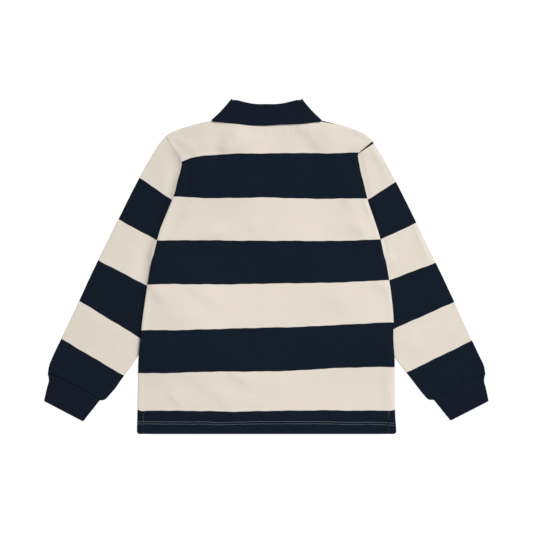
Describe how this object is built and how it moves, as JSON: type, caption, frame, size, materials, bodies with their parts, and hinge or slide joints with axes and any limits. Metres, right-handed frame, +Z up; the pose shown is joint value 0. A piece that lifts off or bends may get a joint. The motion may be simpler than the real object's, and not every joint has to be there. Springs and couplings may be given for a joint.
{
  "type": "child's long-sleeve polo shirt",
  "caption": "Child's long-sleeve polo shirt in wide navy and cream stripes, with a fold-over rib collar and rib cuffs, lying flat and face down.",
  "frame": {"origin": "on the surface the shirt lies on, under the middle of the box round the whole shirt", "axes": "+X across the shirt towards its right-hand sleeve in the picture, +Y from the hem towards the collar, +Z up from the surface, away from the front panel"},
  "size_m": [0.711, 0.5366, 0.0086],
  "materials": {
    "striped_jersey": "matt cotton jersey in wide cream and navy stripes",
    "cream_jersey": "matt cotton jersey, plain cream",
    "navy_rib": "matt cotton rib knit",
    "button": "satin"
  },
  "bodies": {
    "root": {"back": "striped_jersey", "front": "striped_jersey", "sleeve_left": "striped_jersey", "sleeve_right": "striped_jersey", "cuff_left": "navy_rib", "cuff_right": "navy_rib", "collar": "navy_rib", "placket_outer": "cream_jersey", "placket_inner": "cream_jersey", "button_1": "button", "button_2": "button", "button_3": "button"}
  },
  "joints": []
}
